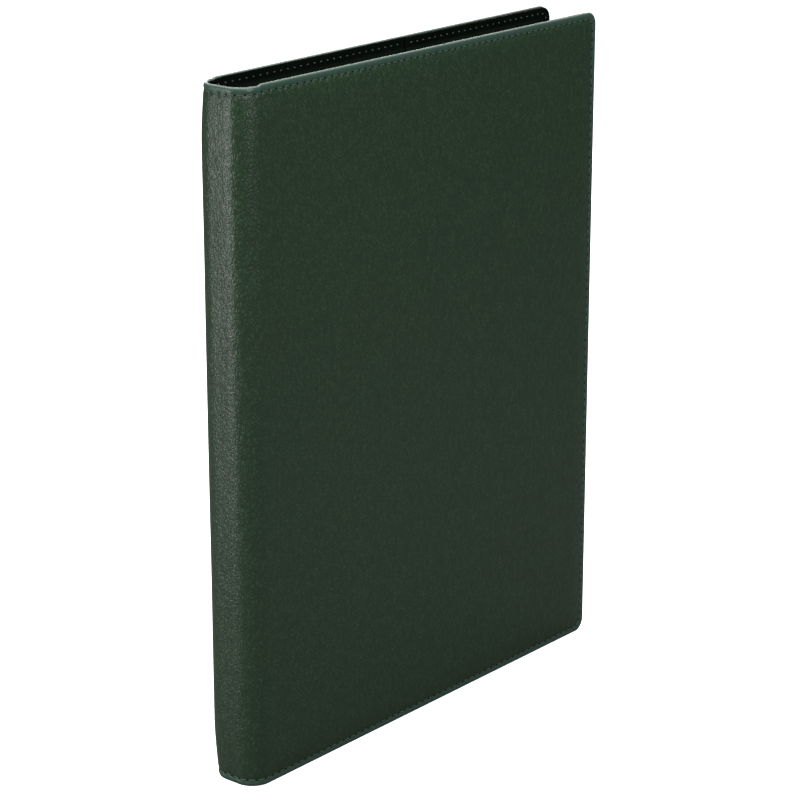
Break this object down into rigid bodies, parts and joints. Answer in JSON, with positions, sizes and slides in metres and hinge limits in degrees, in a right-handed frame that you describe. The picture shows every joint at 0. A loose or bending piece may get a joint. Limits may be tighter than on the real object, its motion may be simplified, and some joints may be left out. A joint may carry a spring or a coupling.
{
  "type": "stamp album",
  "caption": "Padded leather stockbook case, edge-stitched, with hinged covers and black card leaves that carry clear strips for stamps.",
  "frame": {"origin": "centre of the footprint of the closed album, on the surface it stands on", "axes": "+Z from tail to head, +X from the spine to the fore-edge, +Y from the front cover to the rear cover"},
  "size_m": [0.25, 0.0334, 0.32],
  "materials": {
    "green_leather": "fine pebbled grain, semi-gloss",
    "green_thread": "twisted bonded thread",
    "black_lining": "smooth leatherette, satin",
    "pocket_cloth": "smooth leatherette, satin",
    "foam": "soft sheet foam",
    "grey_board": "dense grey board",
    "black_card": "matt black page card",
    "clear_film": "clear gloss film",
    "glassine": "translucent glassine",
    "guard_card": "matt black card",
    "linen": "black linen tape",
    "joint_cloth": "black book cloth",
    "kraft_paper": "brown kraft paper",
    "band_silk": "woven silk band"
  },
  "bodies": {
    "spine": {"spine_leather": "green_leather", "spine_padding": "foam", "spine_board": "grey_board", "spine_lining": "black_lining", "spine_stitching": "green_thread", "spine_cloth": "joint_cloth", "page_guards": "guard_card", "linen_hinges": "linen", "hollow_tube": "kraft_paper", "tail_band": "band_silk", "head_band": "band_silk"},
    "front_cover": {"front_leather": "green_leather", "front_padding": "foam", "front_board": "grey_board", "front_lining": "black_lining", "front_pocket": "pocket_cloth", "front_stitching": "green_thread", "front_joint_cloth": "joint_cloth"},
    "rear_cover": {"rear_leather": "green_leather", "rear_padding": "foam", "rear_board": "grey_board", "rear_lining": "black_lining", "rear_pocket": "pocket_cloth", "rear_stitching": "green_thread", "rear_joint_cloth": "joint_cloth"},
    "page_01": {"leaf_01": "black_card", "strips_01": "clear_film", "interleaf_01": "glassine"},
    "page_02": {"leaf_02": "black_card", "strips_02": "clear_film", "interleaf_02": "glassine"},
    "page_03": {"leaf_03": "black_card", "strips_03": "clear_film", "interleaf_03": "glassine"},
    "page_04": {"leaf_04": "black_card", "strips_04": "clear_film", "interleaf_04": "glassine"},
    "page_05": {"leaf_05": "black_card", "strips_05": "clear_film", "interleaf_05": "glassine"},
    "page_06": {"leaf_06": "black_card", "strips_06": "clear_film", "interleaf_06": "glassine"},
    "page_07": {"leaf_07": "black_card", "strips_07": "clear_film", "interleaf_07": "glassine"},
    "page_08": {"leaf_08": "black_card", "strips_08": "clear_film", "interleaf_08": "glassine"},
    "page_09": {"leaf_09": "black_card", "strips_09": "clear_film", "interleaf_09": "glassine"},
    "page_10": {"leaf_10": "black_card", "strips_10": "clear_film", "interleaf_10": "glassine"},
    "page_11": {"leaf_11": "black_card", "strips_11": "clear_film", "interleaf_11": "glassine"},
    "page_12": {"leaf_12": "black_card", "strips_12": "clear_film"}
  },
  "joints": [
    {"name": "front_cover_hinge", "type": "hinge", "parent": "spine", "child": "front_cover", "pos_m": [-0.12137, -0.01137, 0.16], "axis": [0, 0, -1], "range_deg": [0, 178]},
    {"name": "rear_cover_hinge", "type": "hinge", "parent": "spine", "child": "rear_cover", "pos_m": [-0.12137, 0.01137, 0.16], "axis": [0, 0, 1], "range_deg": [0, 178]},
    {"name": "page_01_hinge", "type": "hinge", "parent": "spine", "child": "page_01", "pos_m": [-0.108, -0.0077, 0.16], "axis": [0, 0, -1], "range_deg": [0, 72]},
    {"name": "page_02_hinge", "type": "hinge", "parent": "spine", "child": "page_02", "pos_m": [-0.108, -0.0063, 0.16], "axis": [0, 0, -1], "range_deg": [0, 60]},
    {"name": "page_03_hinge", "type": "hinge", "parent": "spine", "child": "page_03", "pos_m": [-0.108, -0.0049, 0.16], "axis": [0, 0, -1], "range_deg": [0, 48]},
    {"name": "page_04_hinge", "type": "hinge", "parent": "spine", "child": "page_04", "pos_m": [-0.108, -0.0035, 0.16], "axis": [0, 0, -1], "range_deg": [0, 36]},
    {"name": "page_05_hinge", "type": "hinge", "parent": "spine", "child": "page_05", "pos_m": [-0.108, -0.0021, 0.16], "axis": [0, 0, -1], "range_deg": [0, 24]},
    {"name": "page_06_hinge", "type": "hinge", "parent": "spine", "child": "page_06", "pos_m": [-0.108, -0.0007, 0.16], "axis": [0, 0, -1], "range_deg": [0, 12]},
    {"name": "page_07_hinge", "type": "hinge", "parent": "spine", "child": "page_07", "pos_m": [-0.108, 0.0007, 0.16], "axis": [0, 0, 1], "range_deg": [0, 12]},
    {"name": "page_08_hinge", "type": "hinge", "parent": "spine", "child": "page_08", "pos_m": [-0.108, 0.0021, 0.16], "axis": [0, 0, 1], "range_deg": [0, 24]},
    {"name": "page_09_hinge", "type": "hinge", "parent": "spine", "child": "page_09", "pos_m": [-0.108, 0.0035, 0.16], "axis": [0, 0, 1], "range_deg": [0, 36]},
    {"name": "page_10_hinge", "type": "hinge", "parent": "spine", "child": "page_10", "pos_m": [-0.108, 0.0049, 0.16], "axis": [0, 0, 1], "range_deg": [0, 48]},
    {"name": "page_11_hinge", "type": "hinge", "parent": "spine", "child": "page_11", "pos_m": [-0.108, 0.0063, 0.16], "axis": [0, 0, 1], "range_deg": [0, 60]},
    {"name": "page_12_hinge", "type": "hinge", "parent": "spine", "child": "page_12", "pos_m": [-0.108, 0.0077, 0.16], "axis": [0, 0, 1], "range_deg": [0, 72]}
  ],
  "couplings": [
    {"joint": "page_01_hinge", "follows": "front_cover_hinge", "ratio": 0.40449},
    {"joint": "page_02_hinge", "follows": "front_cover_hinge", "ratio": 0.33708},
    {"joint": "page_03_hinge", "follows": "front_cover_hinge", "ratio": 0.26966},
    {"joint": "page_04_hinge", "follows": "front_cover_hinge", "ratio": 0.20225},
    {"joint": "page_05_hinge", "follows": "front_cover_hinge", "ratio": 0.13483},
    {"joint": "page_06_hinge", "follows": "front_cover_hinge", "ratio": 0.067416},
    {"joint": "page_07_hinge", "follows": "rear_cover_hinge", "ratio": 0.067416},
    {"joint": "page_08_hinge", "follows": "rear_cover_hinge", "ratio": 0.13483},
    {"joint": "page_09_hinge", "follows": "rear_cover_hinge", "ratio": 0.20225},
    {"joint": "page_10_hinge", "follows": "rear_cover_hinge", "ratio": 0.26966},
    {"joint": "page_11_hinge", "follows": "rear_cover_hinge", "ratio": 0.33708},
    {"joint": "page_12_hinge", "follows": "rear_cover_hinge", "ratio": 0.40449}
  ]
}
